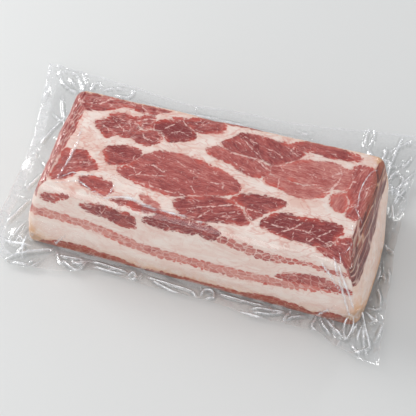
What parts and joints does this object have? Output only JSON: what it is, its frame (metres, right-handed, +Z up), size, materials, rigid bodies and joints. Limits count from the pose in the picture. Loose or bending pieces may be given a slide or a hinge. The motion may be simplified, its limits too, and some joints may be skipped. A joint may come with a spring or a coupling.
{
  "type": "vacuum-sealed pork belly slab",
  "caption": "Rectangular slab of raw pork belly with lean and fat in layers, vacuum sealed in a clear film pouch that lies flat on its base.",
  "frame": {"origin": "under the middle of the pouch's outline, on the surface the pack lies on", "axes": "+X along the slab's length, +Y towards the pouch's wide margin behind the slab, +Z up"},
  "size_m": [0.321, 0.2104, 0.0645],
  "materials": {
    "pork": "moist raw meat and fat under clear film",
    "film": "clear glossy vacuum film"
  },
  "bodies": {
    "root": {"sealed_pack": "pork"}
  },
  "joints": []
}
